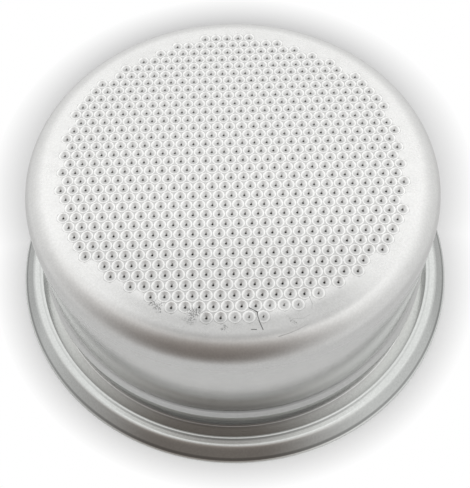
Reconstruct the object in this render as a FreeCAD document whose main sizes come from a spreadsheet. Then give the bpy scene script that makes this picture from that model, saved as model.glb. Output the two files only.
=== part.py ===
"""Espresso filter basket, standing on its rim with the perforated floor up, as it is put down to dry.

It is one pressed piece of stainless sheet: a flat floor with 715 holes, a large pressed radius, a straight
wall, a rolled bead that the portafilter's spring wire snaps over, and a flange that the basket hangs by.

Millimetres. +Z is up. The origin is the centre of the rim, on the surface that the rim stands on.
"""
import FreeCAD, Part
import math
import os

import Sketcher

NODE = "filter_basket"

# Driving dimensions, each with the alias that the sheet gives it and what it is
SIZES = {
    "overall_height": (26.0, "rim to the outside of the floor"),
    "sheet_thickness": (0.5, "the same all over, as in any pressed cup"),
    "wall_radius": (29.9, "outside of the straight wall"),
    "floor_fillet": (3.4, "outside radius between floor and wall"),
    "bead_top": (7.2, "height where the wall turns out to the bead"),
    "bead_shoulder": (6.1, "height where the bead reaches its full width"),
    "bead_bottom": (4.8, "height where the bead turns back in"),
    "bead_height": (0.55, "how far the bead stands out of the wall"),
    "neck_top": (4.5, "height where the neck starts, under the bead"),
    "neck_step": (0.2, "how far the neck is outside the wall"),
    "trough_fillet": (0.3, "outside radius from the neck into the flange"),
    "trough_height": (1.6, "lowest height of the trough beside the neck"),
    "trough_width": (1.8, "from the neck to the flange's flat ledge"),
    "ledge_height": (2.12, "height of the flat ledge, the top of the flange"),
    "crest_roll": (0.9, "outside radius where the ledge rolls over to the slope"),
    "crest_inset": (2.12, "from the rim's edge in to the roll's centre"),
    "lip_width": (0.15, "flat lip outside the slope"),
    "flange_width": (5.1, "from the wall out to the rim's edge"),
    "hole_pitch": (1.77, "centre to centre, in a triangular grid"),
    "plain_margin": (1.7, "flat floor between the outermost holes and the fillet"),
    "hole_mouth": (0.78, "corner radius of a hole in the outer face"),
    "hole_throat": (0.28, "corner radius of a hole in the inner face"),
}

HOLE_SIDES = 3  # the fewest flat sides that keep each hole a real opening through the floor
TOOL_OVERRUN = 0.05  # how far a hole's cutter reaches past each face of the floor


def make_sheet(doc):
    """The spreadsheet that holds every driving dimension under its alias."""
    sheet = doc.addObject("Spreadsheet::Sheet", "Sizes")
    for row, (alias, (value, note)) in enumerate(SIZES.items(), start=1):
        sheet.set("A%d" % row, alias)
        sheet.set("B%d" % row, str(value))
        sheet.set("C%d" % row, note)
        sheet.setAlias("B%d" % row, alias)
    doc.recompute()
    return sheet


def arc(centre, radius, start, end):
    """A sketch arc that runs anticlockwise from start to end, in radians."""
    circle = Part.Circle(centre, FreeCAD.Vector(0, 0, 1), radius)
    return Part.ArcOfCircle(circle, start, end)


def on_arc(centre, radius, angle):
    """The point of a circle at an angle in radians."""
    return centre + radius * FreeCAD.Vector(math.cos(angle), math.sin(angle), 0)


def touch_angle(centre, radius, outside, side):
    """Where a line from an outside point touches a circle, as an angle, on the side 1 or -1 of the centre."""
    away = outside - centre
    return math.atan2(away.y, away.x) + side * math.acos(radius / away.Length)


def section_points(sheet):
    """Places of the section's corners and arc centres, as radius and height, from the sheet's sizes."""
    point = FreeCAD.Vector
    neck_radius = sheet.wall_radius + sheet.neck_step
    bead_radius = sheet.wall_radius + sheet.bead_height
    rim_radius = sheet.wall_radius + sheet.flange_width
    crest_radius = rim_radius - sheet.crest_inset
    return {
        "fillet": point(sheet.wall_radius - sheet.floor_fillet, sheet.overall_height - sheet.floor_fillet),
        "bead_top": point(sheet.wall_radius, sheet.bead_top),
        "bead_shoulder": point(bead_radius, sheet.bead_shoulder),
        "bead_bottom": point(bead_radius, sheet.bead_bottom),
        "neck_top": point(neck_radius, sheet.neck_top),
        "trough": point(neck_radius + sheet.trough_fillet, sheet.trough_height + sheet.trough_fillet),
        "ledge_start": point(neck_radius + sheet.trough_width, sheet.ledge_height),
        "crest": point(crest_radius, sheet.ledge_height - sheet.crest_roll),
        "lip_start": point(rim_radius - sheet.lip_width, sheet.sheet_thickness),
        "lip_end": point(rim_radius, sheet.sheet_thickness),
    }


def make_section(doc, sheet):
    """The outside line of the sheet, from the middle of the floor out to the edge of the lip."""
    sketch = doc.addObject("Sketcher::SketchObject", "outside_line")
    upright = FreeCAD.Rotation(FreeCAD.Vector(1, 0, 0), 90)
    sketch.Placement = FreeCAD.Placement(FreeCAD.Vector(), upright)
    at = section_points(sheet)
    quarter = math.pi / 2
    line = Part.LineSegment
    middle = FreeCAD.Vector(0, sheet.overall_height)
    floor_end = on_arc(at["fillet"], sheet.floor_fillet, quarter)
    wall_start = on_arc(at["fillet"], sheet.floor_fillet, 0)
    trough_start = on_arc(at["trough"], sheet.trough_fillet, math.pi)
    trough_turn = touch_angle(at["trough"], sheet.trough_fillet, at["ledge_start"], -1)
    rise_start = on_arc(at["trough"], sheet.trough_fillet, trough_turn)
    ledge_end = on_arc(at["crest"], sheet.crest_roll, quarter)
    crest_turn = touch_angle(at["crest"], sheet.crest_roll, at["lip_start"], 1)
    fall_start = on_arc(at["crest"], sheet.crest_roll, crest_turn)

    floor = sketch.addGeometry(line(middle, floor_end))
    fillet = sketch.addGeometry(arc(at["fillet"], sheet.floor_fillet, 0, quarter))
    wall = sketch.addGeometry(line(wall_start, at["bead_top"]))
    bead_upper = sketch.addGeometry(line(at["bead_top"], at["bead_shoulder"]))
    bead_side = sketch.addGeometry(line(at["bead_shoulder"], at["bead_bottom"]))
    bead_lower = sketch.addGeometry(line(at["bead_bottom"], at["neck_top"]))
    neck = sketch.addGeometry(line(at["neck_top"], trough_start))
    trough_end = trough_turn + 2 * math.pi
    trough = sketch.addGeometry(arc(at["trough"], sheet.trough_fillet, math.pi, trough_end))
    rise = sketch.addGeometry(line(rise_start, at["ledge_start"]))
    ledge = sketch.addGeometry(line(at["ledge_start"], ledge_end))
    crest = sketch.addGeometry(arc(at["crest"], sheet.crest_roll, crest_turn, quarter))
    fall = sketch.addGeometry(line(fall_start, at["lip_start"]))
    lip = sketch.addGeometry(line(at["lip_start"], at["lip_end"]))

    start, end, centre = 1, 2, 3
    x_axis, y_axis = -1, -2
    constraint = Sketcher.Constraint

    def join(kind, first, first_end, second, second_end):
        sketch.addConstraint(constraint(kind, first, first_end, second, second_end))

    def dimension(name, formula, kind, *where):
        index = sketch.addConstraint(constraint(kind, *where))
        sketch.renameConstraint(index, name)
        sketch.setExpression("Constraints." + name, formula)

    sketch.addConstraint(constraint("PointOnObject", floor, start, y_axis))
    for flat in (floor, ledge, lip):
        sketch.addConstraint(constraint("Horizontal", flat))
    for straight in (wall, bead_side, neck):
        sketch.addConstraint(constraint("Vertical", straight))
    join("Tangent", floor, end, fillet, end)
    join("Tangent", wall, start, fillet, start)
    join("Coincident", wall, end, bead_upper, start)
    join("Coincident", bead_upper, end, bead_side, start)
    join("Coincident", bead_side, end, bead_lower, start)
    join("Coincident", bead_lower, end, neck, start)
    join("Tangent", neck, end, trough, start)
    join("Tangent", rise, start, trough, end)
    join("Coincident", rise, end, ledge, start)
    join("Tangent", ledge, end, crest, end)
    join("Tangent", fall, start, crest, start)
    join("Coincident", fall, end, lip, start)

    def height(name, formula, edge, which, value):
        dimension(name, formula, "DistanceY", x_axis, start, edge, which, value)

    def radius(name, formula, edge, which, value):
        dimension(name, formula, "DistanceX", x_axis, start, edge, which, value)

    height("floor_level", "Sizes.overall_height", floor, start, middle.y)
    dimension("fillet_size", "Sizes.floor_fillet", "Radius", fillet, sheet.floor_fillet)
    radius("wall_place", "Sizes.wall_radius", wall, end, at["bead_top"].x)
    height("bead_top_level", "Sizes.bead_top", wall, end, at["bead_top"].y)
    bead_radius = "Sizes.wall_radius + Sizes.bead_height"
    radius("bead_place", bead_radius, bead_side, end, at["bead_bottom"].x)
    height("bead_shoulder_level", "Sizes.bead_shoulder", bead_side, start, at["bead_shoulder"].y)
    height("bead_bottom_level", "Sizes.bead_bottom", bead_side, end, at["bead_bottom"].y)
    neck_radius = "Sizes.wall_radius + Sizes.neck_step"
    radius("neck_place", neck_radius, neck, start, at["neck_top"].x)
    height("neck_top_level", "Sizes.neck_top", neck, start, at["neck_top"].y)
    dimension("trough_size", "Sizes.trough_fillet", "Radius", trough, sheet.trough_fillet)
    trough_level = "Sizes.trough_height + Sizes.trough_fillet"
    height("trough_level", trough_level, trough, centre, at["trough"].y)
    radius("ledge_place", neck_radius + " + Sizes.trough_width", ledge, start, at["ledge_start"].x)
    height("ledge_level", "Sizes.ledge_height", ledge, start, at["ledge_start"].y)
    dimension("crest_size", "Sizes.crest_roll", "Radius", crest, sheet.crest_roll)
    rim_radius = "Sizes.wall_radius + Sizes.flange_width"
    radius("crest_place", rim_radius + " - Sizes.crest_inset", crest, centre, at["crest"].x)
    radius("lip_place", rim_radius + " - Sizes.lip_width", lip, start, at["lip_start"].x)
    height("lip_level", "Sizes.sheet_thickness", lip, end, sheet.sheet_thickness)
    radius("rim_place", rim_radius, lip, end, at["lip_end"].x)
    return sketch


def make_pressing(doc, sketch):
    """The sheet's own thickness laid inside the outside line, turned once round the axis."""
    strip = doc.addObject("Part::Offset2D", "sheet_section")
    strip.Source = sketch
    strip.Mode = "Skin"
    strip.Join = "Intersection"
    strip.Fill = True
    strip.setExpression("Value", "-Sizes.sheet_thickness")
    pressing = doc.addObject("Part::Revolution", "pressing")
    pressing.Source = strip
    pressing.Axis = FreeCAD.Vector(0, 0, 1)
    pressing.Angle = 360
    pressing.Solid = True
    return pressing


def hole_centres(sheet):
    """Every place of the triangular grid that lies inside the perforated field.

    The rows run along X and one hole is in the middle. The field is a circle whose six grid corners are left
    plain, which is how the 715 holes are counted.
    """
    pitch = sheet.hole_pitch
    field = sheet.wall_radius - sheet.floor_fillet - sheet.plain_margin
    corner_limit = field - pitch / 2
    grid_axes = [math.radians(60 * turn) for turn in range(3)]
    rows = math.ceil(field / pitch / math.cos(math.radians(30)))
    columns = math.ceil(field / pitch) + 1
    centres = []
    for row in range(-rows, rows + 1):
        y = row * pitch * math.cos(math.radians(30))
        shift = pitch / 2 * (row % 2)
        for column in range(-columns, columns + 1):
            x = column * pitch + shift
            along = [abs(x * math.cos(axis) + y * math.sin(axis)) for axis in grid_axes]
            if math.hypot(x, y) <= field and max(along) <= corner_limit:
                centres.append(FreeCAD.Vector(x, y, 0))
    return centres


def funnel(sheet):
    """One hole's cutter: wide at the outer face, where the punch went in, and narrow at the inner face."""
    top = sheet.overall_height
    bottom = top - sheet.sheet_thickness
    flare = (sheet.hole_mouth - sheet.hole_throat) / sheet.sheet_thickness * TOOL_OVERRUN
    corners = [math.pi / 2 + 2 * math.pi * side / HOLE_SIDES for side in range(HOLE_SIDES)]

    def ring(radius, level):
        return [FreeCAD.Vector(radius * math.cos(turn), radius * math.sin(turn), level) for turn in corners]

    def face(points):
        return Part.Face(Part.makePolygon(points + points[:1]))

    low = ring(sheet.hole_throat - flare, bottom - TOOL_OVERRUN)
    high = ring(sheet.hole_mouth + flare, top + TOOL_OVERRUN)
    faces = [face(low), face(high)]
    for side in range(HOLE_SIDES):
        after = (side + 1) % HOLE_SIDES
        faces.append(face([low[side], low[after], high[after], high[side]]))
    return Part.makeSolid(Part.makeShell(faces))


def make_hole_cutters(doc, sheet):
    """All the cutters of the perforated floor, as one group."""
    cutters = doc.addObject("Part::Feature", "hole_cutters")
    one = funnel(sheet)
    cutters.Shape = Part.makeCompound([one.translated(centre) for centre in hole_centres(sheet)])
    cutters.Placement = FreeCAD.Placement()
    return cutters


def make_basket(doc, sheet):
    """The finished basket: the pressing with its floor perforated."""
    pressing = make_pressing(doc, make_section(doc, sheet))
    basket = doc.addObject("Part::Cut", NODE)
    basket.Base = pressing
    basket.Tool = make_hole_cutters(doc, sheet)
    basket.Refine = False
    basket.Label = NODE
    basket.Placement = FreeCAD.Placement()
    return basket


def check(doc, parts):
    """Stops if any object of the document failed, or if a part is empty, broken or in pieces."""
    for item in doc.Objects:
        if {"Invalid", "Error"} & set(item.State):
            raise RuntimeError("%s did not build: %s" % (item.Label, item.State))
    for part in parts:
        if part.Shape.isNull() or not part.Shape.isValid():
            raise RuntimeError("%s has no valid shape" % part.Label)
        if len(part.Shape.Solids) != 1:
            raise RuntimeError("%s has %d solids" % (part.Label, len(part.Shape.Solids)))


def main():
    doc = FreeCAD.newDocument("espresso_filter_basket")
    sheet = make_sheet(doc)
    parts = [make_basket(doc, sheet)]
    doc.recompute()
    check(doc, parts)
    os.makedirs("parts", exist_ok=True)
    for part in parts:
        part.Shape.exportStep("parts/%s.step" % part.Label)
        box = part.Shape.BoundBox
        print(part.Label, "x %.2f y %.2f z %.2f to %.2f" % (box.XLength, box.YLength, box.ZMin, box.ZMax))
        print("holes", len(hole_centres(sheet)), "volume %.1f mm3" % part.Shape.Volume)


main()
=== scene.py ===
"""Espresso filter basket on a white table, standing on its rim, seen from above and in front.

The basket, its wear and the camera's place are given in millimetres, and turned into metres where
they are used. The table and the lamp are in metres.
"""

import math
from collections import Counter

import bmesh
import bpy
import numpy as np
from mathutils import Matrix, Vector
from mathutils.geometry import delaunay_2d_cdt


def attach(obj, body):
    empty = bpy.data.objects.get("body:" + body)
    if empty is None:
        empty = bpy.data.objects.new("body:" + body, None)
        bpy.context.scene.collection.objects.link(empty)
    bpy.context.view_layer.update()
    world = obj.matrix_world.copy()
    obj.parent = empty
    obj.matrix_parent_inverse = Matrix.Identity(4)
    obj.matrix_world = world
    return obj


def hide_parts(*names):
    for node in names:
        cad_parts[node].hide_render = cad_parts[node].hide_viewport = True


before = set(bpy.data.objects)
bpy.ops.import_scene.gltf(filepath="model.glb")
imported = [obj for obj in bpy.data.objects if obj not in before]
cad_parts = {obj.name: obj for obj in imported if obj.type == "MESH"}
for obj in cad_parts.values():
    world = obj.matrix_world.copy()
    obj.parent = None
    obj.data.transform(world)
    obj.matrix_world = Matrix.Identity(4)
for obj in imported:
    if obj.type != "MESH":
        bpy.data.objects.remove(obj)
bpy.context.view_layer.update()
MM = 0.001
# Points nearer than this are joined: in millimetres in the flat floor, in metres in the whole mesh
JOIN_IN_FLOOR, JOIN_IN_MESH = 1e-5, 3e-6
SPOTS_PER_MM = 2000

# The section of the sheet's outer face: heights over the table, radii and roundings
HEIGHT, SHEET = 26.0, 0.5
WALL_R, FILLET = 29.9, 3.4
WALL_RINGS = (19.0, 15.0, 11.0)
BEAD_TOP, BEAD_SHOULDER, BEAD_BOTTOM, BEAD_R = 7.2, 6.1, 4.8, 30.45
NECK_TOP, NECK_R = 4.5, 30.1
TROUGH_FILLET, TROUGH_Z, TROUGH_WIDTH = 0.15, 1.6, 1.66
LEDGE_Z = 2.09
CREST_ROLL, CREST_INSET = 0.9, 2.12
LIP_WIDTH, RIM_R, EDGE = 0.15, 35.0, 0.05
SEGMENTS = 216
# The fine raised line on the ledge: how far out from the ledge's start and how high each point is
LEDGE_LINE = ((-0.03, 0.0), (0.05, 0.025), (0.22, 0.025), (0.34, 0.0))

# The perforated floor. A raised ring stands round each hole, with its top at the full height
RING = 0.05
FLOOR_Z = HEIGHT - RING
PITCH, PLAIN_MARGIN = 1.77, 1.7
ROWS = range(-17, 18)
SIDES = [math.radians(a) for a in (0, 60, 120)]
HOLE_TURN = [math.radians(30 * i) for i in range(12)]
# Worn holes at the front edge: place, and how much of the dimple is left
WORN = {(0.0, -24.53): 0.6, (1.77, -24.53): 0.4, (3.54, -24.53): 0.4,
        (4.425, -22.99): 0.75, (6.195, -22.99): 0.55, (7.965, -22.99): 0.4, (10.62, -21.46): 0.55}
WORN_REACH = 0.3

# How bright each dimple ring is painted, 0 to 1: a painted highlight on the raised ring, painted shade in
# and between dimples
SHEEN_BY_RING = (0.05, 1.0, 0.85, 0.14, 0.12, 0.30, 0.0)
NO_SHEEN, FIELD_EDGE_SHEEN, PLAIN_SHEEN = 0.0, 0.5, 0.6
# Brightness of the steel, with painted light: the floor at no and at full painted sheen, the share of that
# which its front rows keep as painted shade, and the wall
FLOOR_AT_NO_SHEEN, FLOOR_AT_FULL_SHEEN, FRONT_ROWS_SHADE, WALL_BRIGHT = 0.705, 1.165, 0.90, 0.97
# How much of that brightness each darkening takes: the front strip, wear marks, and grime with painted shade
STRIP_DARK, MARK_DARK, GRIME_AND_SHADE_DARK = 0.28, 0.80, 0.52

# Scratches and thin dark lines on the floor: the points of each line, and its width
SCRATCH = ([(1.83, -23.31), (2.81, -23.9), (2.85, -24.53), (3.07, -25.34), (3.41, -26.28)], 0.11)
SHORT_SCRATCH = ([(2.0, -26.24), (2.61, -26.26)], 0.10)
THIN_DARK_LINES = (
    ([(5.3, -27.15), (6.6, -26.75), (7.7, -26.3), (8.9, -25.7)], 0.08),
    ([(6.4, -24.5), (7.3, -24.95), (8.4, -24.9), (9.3, -24.4)], 0.09),
    ([(9.4, -21.9), (9.7, -22.9), (9.6, -23.6)], 0.08),
)
THIN_LINE_SHARE = 0.5
# Scuffs on the floor: the middle and size of each, how ragged they are and how strong
SCUFFS = (((-9.7, -22.9), 0.75), ((-5.1, -23.9), 1.2), ((-5.6, -25.1), 1.8), ((-1.4, -26.2), 0.7),
          ((6.8, -25.2), 0.8))
RAGGED, SCUFF_SHARE = 4.5, 0.80

# The table, in metres. Its shaded part is a painted shadow, in which the lit table with its real shadows
# shows: it lies round the rim's foot and round a circle behind it, and its width grows towards the back
TABLE_R, TABLE_Y, TABLE_POINTS = 0.1, 0.03, 120
SHADE_Y, SHADE_R = 0.0179, 0.0379
SHADE_WIDTH, SHADE_GROWTH, SHADE_END = 0.0062, 0.047, 0.88
TABLE_TONE, TABLE_IN_STEEL = 0.93, 0.70

# The tent: its brightness by the sine of the height, and its light on what isn't steel
TENT = ((0.0, 0.90), (0.26, 0.94), (0.50, 1.07), (0.70, 1.24),
        (0.82, 1.40), (0.91, 1.32), (0.97, 1.25), (1.0, 1.05))
TENT_LIGHT = 0.46
# The dim open side: which way it lies and how high, its spread, where it starts and is full, its tone
OPEN_TURN, OPEN_REACH, OPEN_RISE, OPEN_SPREAD = math.radians(14), 0.9, 0.42, 1.35
OPEN_START, OPEN_FULL = math.radians(85), math.radians(24)
OPEN_TONE = (0.235, 0.207, 0.190, 1)
WHITE = (1, 1, 1, 1)


def arc(cx, cz, radius, start, end, steps):
    """Points of an arc in the upright section, angles in degrees from the outward direction."""
    turn = np.radians(np.linspace(start, end, steps + 1))
    return [(cx + radius * math.cos(a), cz + radius * math.sin(a)) for a in turn]


def touch_angle(centre, radius, outside, side):
    """Where a line from an outside point touches a circle, in degrees, on side 1 or -1 of the centre."""
    away = np.subtract(outside, centre)
    return math.degrees(math.atan2(away[1], away[0]) + side * math.acos(radius / np.linalg.norm(away)))


def crisp(line, reach=0.045, corner=math.radians(10)):
    """Adds a point close to each side of every corner, so smooth shading keeps the faces there flat."""
    pts = [np.array(p, float) for p in line]
    sharp = [False] * len(pts)
    for i in range(1, len(pts) - 1):
        u, v = pts[i] - pts[i - 1], pts[i + 1] - pts[i]
        sharp[i] = u @ v < math.cos(corner) * np.linalg.norm(u) * np.linalg.norm(v)
    out = [pts[0]]
    for i in range(1, len(pts)):
        step = pts[i] - pts[i - 1]
        length = np.linalg.norm(step)
        if length > 2.5 * reach:
            if sharp[i - 1]:
                out.append(pts[i - 1] + step / length * reach)
            if sharp[i]:
                out.append(pts[i] - step / length * reach)
        out.append(pts[i])
    return [tuple(p) for p in out]


def outside_line():
    """The outer face in section, from the edge of the flat floor to the edge of the lip."""
    line = arc(WALL_R - FILLET, FLOOR_Z - FILLET, FILLET, 90, 0, 14)
    line += [(WALL_R, z) for z in WALL_RINGS + (BEAD_TOP,)]
    line += [(BEAD_R, BEAD_SHOULDER), (BEAD_R, BEAD_BOTTOM), (NECK_R, NECK_TOP)]
    trough = (NECK_R + TROUGH_FILLET, TROUGH_Z + TROUGH_FILLET)
    ledge = (NECK_R + TROUGH_WIDTH, LEDGE_Z)
    line += arc(*trough, TROUGH_FILLET, -180, touch_angle(trough, TROUGH_FILLET, ledge, -1), 7)
    line += [(ledge[0] + out, ledge[1] + up) for out, up in LEDGE_LINE]
    crest = (RIM_R - CREST_INSET, LEDGE_Z - CREST_ROLL)
    lip = (RIM_R - LIP_WIDTH, SHEET)
    line += arc(*crest, CREST_ROLL, 90, touch_angle(crest, CREST_ROLL, lip, 1), 10)
    line += [lip, (RIM_R - EDGE, SHEET)]
    return line


def inset(line, depth, sharpest=0.7):
    """The line moved inwards by the sheet's thickness, square to itself, with sharp corners held back."""
    pts = np.array(line)
    step = np.diff(pts, axis=0)
    step /= np.linalg.norm(step, axis=1)[:, None]
    normal = np.c_[step[:, 1], -step[:, 0]]
    first = np.vstack([[[0, -1]], normal])
    last = np.vstack([normal, [[0, -1]]])
    mitre = first + last
    mitre /= np.linalg.norm(mitre, axis=1)[:, None]
    mitre /= np.maximum((mitre * last).sum(1), sharpest)[:, None]
    return [tuple(p) for p in pts + mitre * depth]


def across(x, y):
    """How far out a place is from the middle of a hexagon, square to the sides it is nearest to."""
    return max(abs(x * math.cos(a) + y * math.sin(a)) for a in SIDES)


def lattice():
    """The middle of each hole: a triangular grid in a circle cut by six flats."""
    field = WALL_R - FILLET - PLAIN_MARGIN
    found = []
    for row in ROWS:
        y = row * PITCH * math.cos(math.radians(30))
        for column in ROWS:
            x = column * PITCH + PITCH / 2 * (row % 2)
            if math.hypot(x, y) <= field and across(x, y) <= field - PITCH / 2:
                found.append((x, y))
    return found


def hexagon():
    """The cell round a hole: the middle of a side and a corner in turn."""
    reach = (PITCH / 2, PITCH / 2 / math.cos(math.radians(30)))
    return [(reach[i % 2] * math.cos(a), reach[i % 2] * math.sin(a)) for i, a in enumerate(HOLE_TURN)]


HOLES = lattice()
CELL = hexagon()


def spot(x, y):
    """A place on the floor, rounded so that the cells that meet there agree on it."""
    return round(x * SPOTS_PER_MM), round(y * SPOTS_PER_MM)


def in_cells(x, y):
    """Whether a place lies in the cell of any hole."""
    return any(math.hypot(x - cx, y - cy) < PITCH and across(x - cx, y - cy) < PITCH / 2 for cx, cy in HOLES)


def dimple(left):
    """Rings of one dimple from its foot to the hole's lower edge, as radius and height over the floor."""
    hole = 0.06 + 0.07 * left
    return [
        (0.88, 0.0), (0.79, RING * left), (0.70, 0.0), (0.50, -0.06 * left),
        (0.30, -0.115 * left), (hole, -0.16 * left), (hole - 0.005, -SHEET),
    ]


def plain_floor(verts, faces, rim_radius, z, up):
    """One flat face of the floor between the holes' cells and the circle where the fillet starts."""
    index, points = {}, []

    def point(x, y):
        key = spot(x, y)
        if key not in index:
            index[key] = len(points)
            points.append((x, y))
        return index[key]

    use = Counter()
    for cx, cy in HOLES:
        ring = [point(cx + x, cy + y) for x, y in CELL]
        use.update(tuple(sorted(pair)) for pair in zip(ring, ring[1:] + ring[:1]))
    edges = [pair for pair, count in use.items() if count == 1]
    kept = sorted({i for pair in edges for i in pair})
    renumber = {old: new for new, old in enumerate(kept)}
    plane = [points[i] for i in kept]
    edges = [(renumber[a], renumber[b]) for a, b in edges]
    first = len(plane)
    for i in range(SEGMENTS):
        a = 2 * math.pi * i / SEGMENTS
        plane.append((rim_radius * math.cos(a), rim_radius * math.sin(a)))
        edges.append((first + i, first + (i + 1) % SEGMENTS))
    found, _, tris, _, _, _ = delaunay_2d_cdt([Vector(p) for p in plane], edges, [], 0, JOIN_IN_FLOOR)
    base = len(verts)
    verts.extend((p.x, p.y, z) for p in found)
    for tri in tris:
        mid = sum((found[i] for i in tri), Vector((0, 0))) / 3
        if mid.length < rim_radius and not in_cells(mid.x, mid.y):
            ring = [base + i for i in tri]
            faces.append(ring if up else ring[::-1])


def holes(verts, faces, painted_sheen):
    """The dimples of the outer face, the holes through the sheet and the inner face round each hole."""
    count = len(CELL)
    meeting = Counter(spot(cx + x, cy + y) for cx, cy in HOLES for x, y in CELL)
    for cx, cy in HOLES:
        left = 1.0
        for (wx, wy), share in WORN.items():
            if math.hypot(cx - wx, cy - wy) < WORN_REACH:
                left = share
        outline = [(cx + x, cy + y) for x, y in CELL]
        rings = [[(x, y, FLOOR_Z) for x, y in outline]]
        for radius, height in dimple(left):
            circle = [(cx + radius * math.cos(t), cy + radius * math.sin(t)) for t in HOLE_TURN]
            rings.append([(x, y, FLOOR_Z + height) for x, y in circle])
        rings.append([(x, y, FLOOR_Z - SHEET) for x, y in outline])
        # Each point's painted sheen: painted shade between the dimples, less at the field's edge, a painted
        # highlight on each ring
        # Two cells meet at the middle of a side and three at a corner, fewer at the field's edge
        for i, (x, y) in enumerate(outline):
            painted_sheen.append(NO_SHEEN if meeting[spot(x, y)] == 2 + i % 2 else FIELD_EDGE_SHEEN)
        for share in SHEEN_BY_RING + (NO_SHEEN,):
            painted_sheen.extend([share] * count)
        base = len(verts)
        for ring in rings:
            verts.extend(ring)
        for k in range(len(rings) - 1):
            a, b = base + k * count, base + (k + 1) * count
            for i in range(count):
                j = (i + 1) % count
                faces.append([a + i, a + j, b + j, b + i])


def turned(verts, faces, line):
    """The section line turned once round the axis."""
    base = len(verts)
    around = [2 * math.pi * i / SEGMENTS for i in range(SEGMENTS)]
    for r, z in line:
        verts.extend((r * math.cos(a), r * math.sin(a), z) for a in around)
    for k in range(len(line) - 1):
        a, b = base + k * SEGMENTS, base + (k + 1) * SEGMENTS
        for i in range(SEGMENTS):
            j = (i + 1) % SEGMENTS
            faces.append([a + i, b + i, b + j, a + j])


def make_mesh(name, verts, faces, painted_sheen):
    """One closed mesh from points in millimetres, with each point's painted sheen for painted highlight and
    shade.
    """
    mesh = bpy.data.meshes.new(name)
    mesh.from_pydata([(x * MM, y * MM, z * MM) for x, y, z in verts], [], faces)
    mesh.attributes.new("painted_sheen", "FLOAT", "POINT").data.foreach_set("value", painted_sheen)
    bm = bmesh.new()
    bm.from_mesh(mesh)
    bmesh.ops.remove_doubles(bm, verts=bm.verts, dist=JOIN_IN_MESH)
    bmesh.ops.recalc_face_normals(bm, faces=bm.faces)
    bm.to_mesh(mesh)
    bm.free()
    mesh.polygons.foreach_set("use_smooth", [True] * len(mesh.polygons))
    mesh.update()
    piece = bpy.data.objects.new(name, mesh)
    bpy.context.scene.collection.objects.link(piece)
    return piece


def make_basket():
    """The whole sheet: the perforated floor, its two plain faces, and the section turned round."""
    verts, faces, painted_sheen = [], [], []
    outer = outside_line()
    # The inner face is plainer: every second point of its line, and the last one
    inner = inset(outer, SHEET)
    inner = inner[:-1:2] + inner[-1:]
    holes(verts, faces, painted_sheen)
    plain_floor(verts, faces, outer[0][0], FLOOR_Z, True)
    plain_floor(verts, faces, inner[0][0], FLOOR_Z - SHEET, False)
    cut_edge = [(RIM_R, SHEET - EDGE), (RIM_R, EDGE)]
    turned(verts, faces, crisp(outer + cut_edge + inner[::-1]))
    # The plain floor and the turned section get one even painted sheen
    painted_sheen += [PLAIN_SHEEN] * (len(verts) - len(painted_sheen))
    return make_mesh("basket", verts, faces, painted_sheen)


class Nodes:
    """A small helper that adds shader nodes and joins them."""

    def __init__(self, tree):
        self.tree = tree
        tree.nodes.clear()

    def add(self, kind, inputs=None, **settings):
        """A node with its settings. Each input takes a fixed value or another node's output."""
        node = self.tree.nodes.new(kind)
        for key, value in settings.items():
            setattr(node, key, value)
        for key, value in (inputs or {}).items():
            if isinstance(value, bpy.types.NodeSocket):
                self.tree.links.new(value, node.inputs[key])
            else:
                node.inputs[key].default_value = value
        return node

    def math(self, operation, first, *others):
        """One operation on a value, or on several in turn from the first one on."""
        if not others:
            return self.add("ShaderNodeMath", {0: first}, operation=operation).outputs[0]
        for value in others:
            first = self.add("ShaderNodeMath", {0: first, 1: value}, operation=operation).outputs[0]
        return first

    def product(self, *values):
        return self.math("MULTIPLY", *values)

    def total(self, *values):
        return self.math("ADD", *values)

    def highest(self, *values):
        return self.math("MAXIMUM", *values)

    def gap(self, value, middle):
        """How far a value is from a middle one."""
        return self.math("ABSOLUTE", self.math("SUBTRACT", value, middle))

    def vector(self, operation, a, b, output="Vector"):
        return self.add("ShaderNodeVectorMath", {0: a, 1: b}, operation=operation).outputs[output]

    def scaled(self, vector, share):
        return self.add("ShaderNodeVectorMath", {0: vector, "Scale": share}, operation="SCALE").outputs[0]

    def noise(self, place, scale, detail, roughness):
        inputs = {"Vector": place, "Scale": scale, "Detail": detail, "Roughness": roughness}
        return self.add("ShaderNodeTexNoise", inputs).outputs["Fac"]

    def ramp(self, value, low, high, to_low=0.0, to_high=1.0, smooth=True):
        inputs = {"Value": value, "From Min": low, "From Max": high, "To Min": to_low, "To Max": to_high}
        kind = "SMOOTHSTEP" if smooth else "LINEAR"
        return self.add("ShaderNodeMapRange", inputs, interpolation_type=kind).outputs[0]

    def mix(self, factor, a, b):
        return self.add("ShaderNodeMix", {0: factor, 6: a, 7: b}, data_type="RGBA").outputs[2]


def along_line(n, place, points, width, core=0.3):
    """A mask that is 1 on a thin line through the points."""
    gaps = []
    for (ax, ay), (bx, by) in zip(points, points[1:]):
        start, run = Vector((ax, ay, 0.0)), Vector((bx - ax, by - ay, 0.0))
        away = n.vector("SUBTRACT", place, start)
        share = n.vector("DOT_PRODUCT", away, run / run.length_squared, "Value")
        share = n.math("MINIMUM", n.highest(share, 0.0), 1.0)
        gaps.append(n.vector("DISTANCE", away, n.scaled(run, share), "Value"))
    nearest = n.math("MINIMUM", *gaps) if len(gaps) > 1 else gaps[0]
    return n.ramp(nearest, width, width * core)


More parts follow.
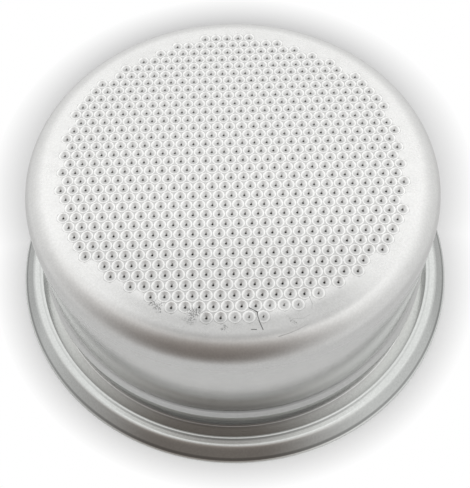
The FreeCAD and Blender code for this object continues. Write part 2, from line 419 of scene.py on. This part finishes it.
def floor_marks(n, mm, z, dull, core=0.2):
    """A mask of the scratches, the thin dark lines and the scuffs on the floor."""
    flat = n.vector("MULTIPLY", mm, (1.0, 1.0, 0.0))
    thin_lines = n.highest(*(along_line(n, flat, *fold) for fold in THIN_DARK_LINES))
    lines = n.highest(along_line(n, flat, *SCRATCH), n.product(thin_lines, THIN_LINE_SHARE),
                      along_line(n, flat, *SHORT_SCRATCH))
    ragged = n.product(n.math("SUBTRACT", dull, 0.5), RAGGED)
    patches = []
    for (x, y), size in SCUFFS:
        distance = n.total(n.vector("DISTANCE", flat, (x, y, 0.0), "Value"), ragged)
        patches.append(n.ramp(distance, size, size * core))
    specks = n.ramp(n.noise(flat, 4.5, 2.0, 0.7), 0.44, 0.54)
    scuffs = n.product(n.highest(*patches), specks, SCUFF_SHARE)
    return n.product(n.highest(lines, scuffs), n.ramp(z, 25.0, 25.6))


def grime_and_painted_shade(n, x, z, radius):
    """A mask of grime and painted shade: on the wall most at the front and back, on the flange also at the
    sides.
    """
    aside = n.math("ABSOLUTE", x)
    # Grime and painted shade in the creases above and below the bead
    over_bead = n.ramp(n.gap(z, BEAD_TOP), 0.55, 0.15)
    shoulder = n.product(n.ramp(radius, 29.93, 30.0, 0.0, 0.5), n.ramp(z, 5.9, 6.2))
    neck = n.product(n.ramp(radius, 30.8, 30.25), n.ramp(z, 6.2, 5.2), n.ramp(z, 3.1, 3.6, 0.50, 0.80))
    # A painted dark reflection of the flange on the lower wall
    low_wall = n.product(n.ramp(z, 14.0, 8.2), n.ramp(z, 7.0, 7.2), 0.95)
    # The painted shade on the wall is strongest at the front and back
    wall = n.product(n.highest(over_bead, shoulder, neck, low_wall), n.ramp(aside, 24.0, 2.0, 0.25, 1.0))
    # Grime and painted shade on the flange's outer slope and at its foot
    skirt = n.highest(n.ramp(radius, 33.2, 33.9, 0.0, 0.30), n.ramp(radius, 34.3, 34.6))
    skirt = n.product(skirt, n.ramp(z, 0.50, 0.62))
    # Painted shade in a thin line beside the ledge's raised line, and on the flange at its sides
    beside_line = n.product(n.ramp(n.gap(radius, 32.22), 0.26, 0.08), 0.62)
    sides = n.product(n.ramp(radius, 31.3, 31.9), n.ramp(aside, 11.0, 25.0, 0.0, 0.45))
    flange = n.product(n.highest(beside_line, sides), n.ramp(z, 3.0, 2.6))
    return n.highest(wall, skirt, flange)


def front_strip(n, x, y, z, radius):
    """A mask of a darker strip along the front edge of the floor."""
    return n.product(n.ramp(y, -16.0, -22.5), n.ramp(n.gap(x, 1.5), 20.0, 9.0),
                     n.ramp(radius, 23.8, 25.6), n.ramp(z, 25.70, 25.90))


def stainless():
    """Satin stainless: polished wall, a floor dulled by use, fine lines round the axis from pressing,
    painted light.
    """
    material = bpy.data.materials.new("satin_stainless")
    material.use_nodes = True
    n = Nodes(material.node_tree)
    mm = n.scaled(n.add("ShaderNodeTexCoord").outputs["Object"], 1000.0)
    x, y, z = n.add("ShaderNodeSeparateXYZ", {0: mm}).outputs
    radius = n.math("SQRT", n.total(n.product(x, x), n.product(y, y)))
    safe = n.highest(radius, 0.01)
    along = n.product(n.math("SUBTRACT", radius, z), 2.2)
    turn = {0: n.math("DIVIDE", x, safe), 1: n.math("DIVIDE", y, safe), 2: along}
    lines = n.noise(n.add("ShaderNodeCombineXYZ", turn).outputs[0], 3.0, 3.0, 0.6)
    dull = n.noise(mm, 0.45, 4.0, 0.6)
    fine = n.noise(mm, 3.5, 3.0, 0.6)
    on_floor = n.product(n.ramp(z, 24.8, 25.7), n.ramp(radius, 27.6, 26.8))
    in_wall = n.math("SUBTRACT", 1.0, on_floor)

    rough_floor = n.total(0.20, n.product(dull, 0.16))
    rough_wall = n.total(0.09, n.product(lines, 0.10), n.ramp(z, 17.5, 23.5, 0.0, 0.17))
    roughness = n.total(n.product(rough_floor, on_floor), n.product(rough_wall, in_wall))

    # Darkening of the colour: a darker front strip, wear marks, and grime with painted shade in the creases
    wear_and_painted_shade = n.highest(n.product(front_strip(n, x, y, z, radius), STRIP_DARK),
                     n.product(floor_marks(n, mm, z, dull), MARK_DARK),
                     n.product(grime_and_painted_shade(n, x, z, radius), GRIME_AND_SHADE_DARK))
    # The painted sheen brightens the floor's colour on the dimples' rings as a painted highlight and darkens
    # it between them
    painted_sheen = n.add("ShaderNodeAttribute", attribute_name="painted_sheen", attribute_type="GEOMETRY").outputs["Fac"]
    floor_painted_light = n.ramp(painted_sheen, 0.0, 1.0, FLOOR_AT_NO_SHEEN, FLOOR_AT_FULL_SHEEN, False)
    # Painted shade: the floor's colour darkens towards its front rows
    floor_painted_light = n.product(floor_painted_light, n.ramp(y, -7.0, -22.0, 1.0, FRONT_ROWS_SHADE))
    brightness_and_painted_light = n.total(n.product(in_wall, WALL_BRIGHT), n.product(on_floor, floor_painted_light))
    brightness_and_painted_light = n.product(n.ramp(fine, 0.35, 0.68, 0.95, 1.03), n.math("SUBTRACT", 1.0, wear_and_painted_shade), brightness_and_painted_light)
    tone = n.mix(dull, (0.690, 0.690, 0.680, 1), (0.760, 0.760, 0.750, 1))
    tone = n.mix(n.ramp(radius, 30.0, 31.0), tone, (0.715, 0.730, 0.715, 1))

    grain = n.total(n.product(fine, on_floor, 0.0040), n.product(lines, in_wall, 0.0030))
    bump = n.add("ShaderNodeBump", {"Height": grain, "Strength": 1.0, "Distance": 0.001})
    steel = {"Base Color": n.scaled(tone, brightness_and_painted_light), "Metallic": 1.0, "Roughness": roughness,
             "Normal": bump.outputs[0]}
    shader = n.add("ShaderNodeBsdfPrincipled", steel)
    n.add("ShaderNodeOutputMaterial", {"Surface": shader.outputs[0]})
    return material


def table():
    """A round white table: lit and shaded in a painted shadow band round the basket, plain white further
    out.
    """
    mesh = bpy.data.meshes.new("table")
    turn = [2 * math.pi * i / TABLE_POINTS for i in range(TABLE_POINTS)]
    ring = [(TABLE_R * math.cos(a), TABLE_Y + TABLE_R * math.sin(a), 0.0) for a in turn]
    mesh.from_pydata(ring, [], [list(range(TABLE_POINTS))])
    piece = bpy.data.objects.new("table", mesh)
    bpy.context.scene.collection.objects.link(piece)
    material = bpy.data.materials.new("white_table")
    material.use_nodes = True
    n = Nodes(material.node_tree)
    place = n.add("ShaderNodeTexCoord").outputs["Object"]
    path = n.add("ShaderNodeLightPath").outputs
    seen = n.highest(path["Is Camera Ray"], path["Is Glossy Ray"], path["Is Transmission Ray"])
    lit = n.add("ShaderNodeBsdfDiffuse", {"Color": (TABLE_TONE, TABLE_TONE, TABLE_TONE, 1)})
    level = n.ramp(path["Is Glossy Ray"], 0.0, 1.0, 1.0, TABLE_IN_STEEL)
    white = n.add("ShaderNodeEmission", {"Color": WHITE, "Strength": level})
    # Painted shadow: the lit grey table shows in a band round the rim's foot and round a circle behind it,
    # white beyond
    foot = n.math("SUBTRACT", n.vector("DISTANCE", place, (0.0, 0.0, 0.0), "Value"), RIM_R * MM)
    behind = n.math("SUBTRACT", n.vector("DISTANCE", place, (0.0, SHADE_Y, 0.0), "Value"), SHADE_R)
    y = n.add("ShaderNodeSeparateXYZ", {0: place}).outputs[1]
    width = n.total(n.product(y, SHADE_GROWTH), SHADE_WIDTH)
    share = n.math("DIVIDE", n.math("MINIMUM", foot, behind), width)
    fade = n.product(seen, n.ramp(share, 0.0, SHADE_END, 0.0, 1.0, False))
    both = n.add("ShaderNodeMixShader", {0: fade, 1: lit.outputs[0], 2: white.outputs[0]})
    n.add("ShaderNodeOutputMaterial", {"Surface": both.outputs[0]})
    mesh.materials.append(material)


def surroundings():
    """A white tent, brightest well above half its height, and the dim room in front at the open side."""
    world = bpy.data.worlds.new("tent")
    bpy.context.scene.world = world
    world.use_nodes = True
    n = Nodes(world.node_tree)
    way = n.add("ShaderNodeTexCoord").outputs["Generated"]
    z = n.add("ShaderNodeSeparateXYZ", {0: way}).outputs[2]
    # The ramp holds half of each brightness, and the next step doubles it
    height = n.add("ShaderNodeValToRGB", {0: n.highest(z, 0.0)})
    ramp = height.color_ramp
    ramp.interpolation = "LINEAR"
    while len(ramp.elements) < len(TENT):
        ramp.elements.new(0.5)
    for element, (where, level) in zip(ramp.elements, TENT):
        element.position = where
        element.color = (level / 2, level / 2, level / 2, 1)
    tent = n.scaled(height.outputs[0], 2.0)

    aside, ahead = math.sin(OPEN_TURN) * OPEN_REACH, math.cos(OPEN_TURN) * OPEN_REACH
    front = Vector((-aside, -ahead, OPEN_RISE)).normalized()
    wide = n.vector("MULTIPLY", way, (OPEN_SPREAD, 1.0, 1.0))
    wide = n.add("ShaderNodeVectorMath", {0: wide}, operation="NORMALIZE").outputs[0]
    facing = n.vector("DOT_PRODUCT", wide, front, "Value")
    apart = n.math("ARCCOSINE", n.math("MINIMUM", facing, 0.99999))
    dim = n.mix(n.ramp(apart, OPEN_START, OPEN_FULL), WHITE, OPEN_TONE)

    path = n.add("ShaderNodeLightPath").outputs
    plain = n.highest(path["Is Camera Ray"], path["Is Diffuse Ray"])
    level = n.mix(path["Is Diffuse Ray"], WHITE, (TENT_LIGHT, TENT_LIGHT, TENT_LIGHT, 1))
    colour = n.mix(plain, n.vector("MULTIPLY", tent, dim), level)
    light = n.add("ShaderNodeBackground", {"Color": colour, "Strength": 1.0})
    n.add("ShaderNodeOutputWorld", {"Surface": light.outputs[0]})


def front_lamp():
    """One large soft lamp above the open side. It lights the table only: the steel shows the tent."""
    lamp = bpy.data.lights.new("front_lamp", "AREA")
    lamp.shape = "DISK"
    lamp.size = 0.42
    lamp.energy = 4.2
    piece = bpy.data.objects.new("front_lamp", lamp)
    piece.location = (0.0, -0.707, 0.707)
    piece.rotation_euler = (-piece.location).to_track_quat("-Z", "Y").to_euler()
    piece.visible_glossy = False
    bpy.context.scene.collection.objects.link(piece)


def camera():
    """The photograph's view: 770.3 pixels of focal length on 470 by 488 pixels."""
    focal, long_side, sensor = 770.31, 488, 36.0
    data = bpy.data.cameras.new("camera")
    data.sensor_width = sensor
    data.lens = focal / long_side * sensor
    data.shift_x = 0.0502
    data.shift_y = -0.1301
    data.clip_start = 0.005
    eye = bpy.data.objects.new("camera", data)
    right = Vector((0.9992984, -0.007121, -0.0367688))
    down = Vector((-0.0272388, -0.8119893, -0.5830364))
    ahead = Vector((-0.025704, 0.5836289, -0.8116136))
    turn = Matrix((right, -down, -ahead)).transposed()
    eye.matrix_world = Matrix.Translation(Vector((-0.095, -66.448, 113.336)) * MM) @ turn.to_4x4()
    bpy.context.scene.collection.objects.link(eye)
    bpy.context.scene.camera = eye


bpy.context.scene.view_settings.view_transform = "Standard"
camera()
surroundings()
table()
basket = make_basket()
basket.data.materials.append(stainless())
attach(basket, "root")
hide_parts("filter_basket")
front_lamp()
